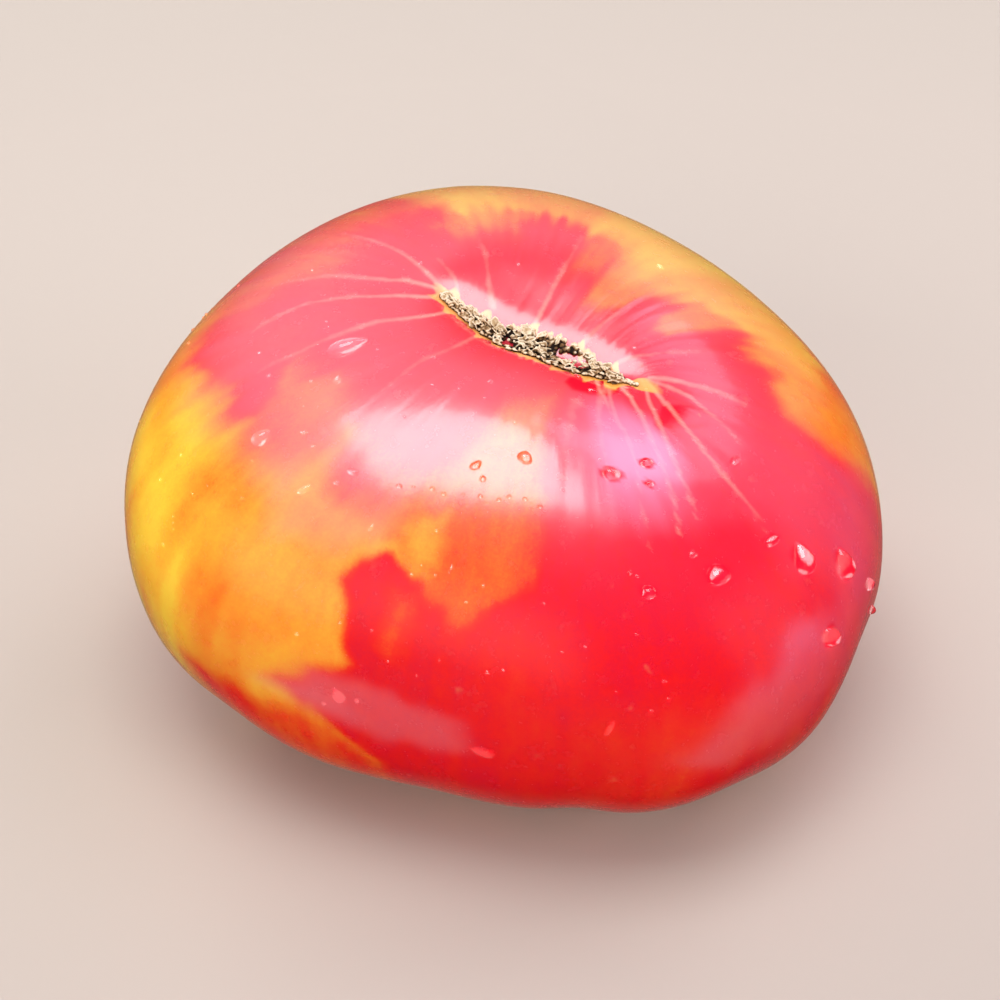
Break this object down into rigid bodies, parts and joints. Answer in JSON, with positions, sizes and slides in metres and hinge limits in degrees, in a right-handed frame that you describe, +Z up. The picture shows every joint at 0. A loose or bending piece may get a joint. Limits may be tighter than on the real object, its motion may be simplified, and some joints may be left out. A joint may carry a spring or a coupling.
{
  "type": "tomato",
  "caption": "Large ribbed beefsteak tomato, flattened, with a long corky blossom scar on top; it rests stem end down on its pressed lobes.",
  "frame": {"origin": "middle of the fruit's outline seen from above, on the surface that it rests on", "axes": "+Z up through the blossom end, +X along the widest girth, -Y towards the side that the blossom end leans to"},
  "size_m": [0.1178, 0.1138, 0.068],
  "materials": {
    "skin": "smooth, waxy and glossy ripe skin, red to orange and yellow",
    "cork": "dry, rough, flaky cork",
    "stem_cork": "dry, rough, brown cork"
  },
  "bodies": {
    "root": {"fruit": "skin", "blossom_scar": "cork", "stem_scar": "stem_cork"}
  },
  "joints": []
}
